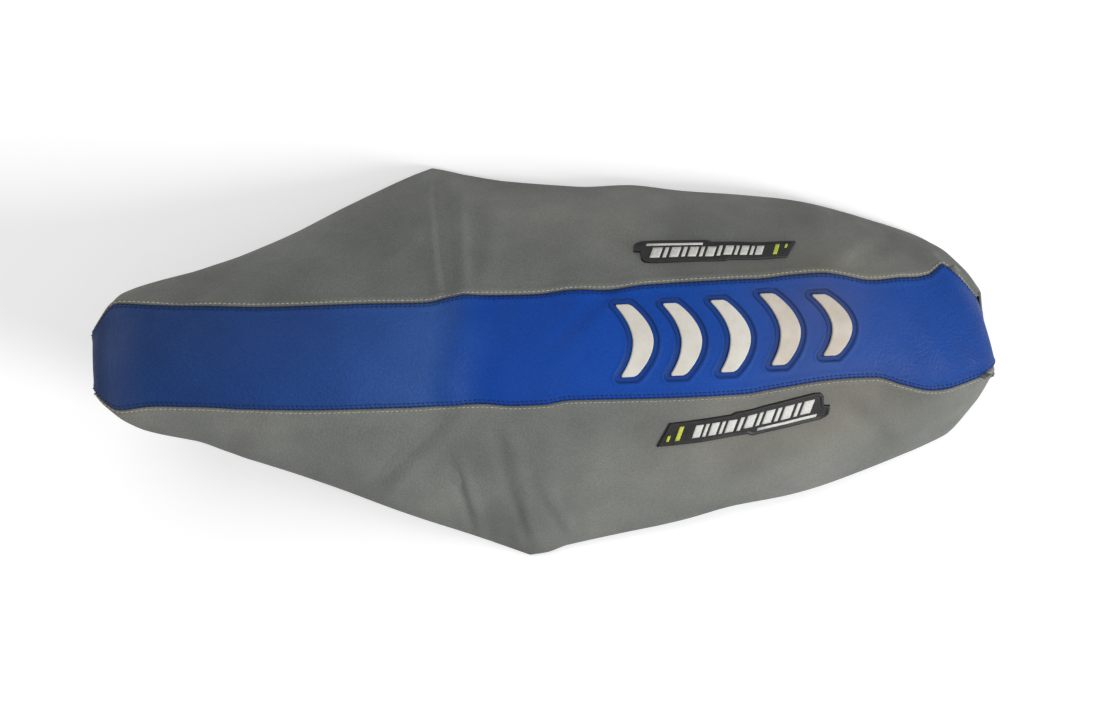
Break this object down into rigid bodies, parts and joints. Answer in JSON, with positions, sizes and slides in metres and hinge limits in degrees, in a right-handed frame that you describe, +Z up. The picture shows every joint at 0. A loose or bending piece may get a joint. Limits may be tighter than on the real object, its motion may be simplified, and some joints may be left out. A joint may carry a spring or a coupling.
{
  "type": "motorcycle seat",
  "caption": "Off-road motorcycle seat with a sewn vinyl cover, raised gripper inserts, shaped foam and a moulded base with mounting hooks and brackets",
  "frame": {"origin": "under the middle of the seat, on the surface it rests on with its two skirt corners and its tail", "axes": "+X from the nose (tank end) to the tail, +Y to the rider's right, +Z up"},
  "size_m": [0.704, 0.318, 0.151],
  "materials": {
    "blue_vinyl": "satin",
    "grey_vinyl": "satin",
    "foam": "matte",
    "white_rubber": "satin",
    "badge_rubber": "satin",
    "pan_plastic": "matte",
    "bracket_steel": "satin",
    "zinc_steel": "satin",
    "black_rubber": "matte"
  },
  "bodies": {
    "root": {"base_pan": "pan_plastic", "foam_block": "foam", "top_panel": "blue_vinyl", "left_side_panel": "grey_vinyl", "right_side_panel": "grey_vinyl", "left_seam_allowance": "grey_vinyl", "right_seam_allowance": "grey_vinyl", "gripper_1": "white_rubber", "gripper_2": "white_rubber", "gripper_3": "white_rubber", "gripper_4": "white_rubber", "gripper_5": "white_rubber", "left_badge": "badge_rubber", "right_badge": "badge_rubber", "cover_staples": "zinc_steel", "front_hook": "bracket_steel", "front_hook_screws": "zinc_steel", "middle_hook": "bracket_steel", "middle_hook_screws": "zinc_steel", "left_rear_bracket": "bracket_steel", "right_rear_bracket": "bracket_steel", "rear_bracket_screws": "zinc_steel", "front_left_cushion": "black_rubber", "front_right_cushion": "black_rubber", "rear_left_cushion": "black_rubber", "rear_right_cushion": "black_rubber"}
  },
  "joints": []
}
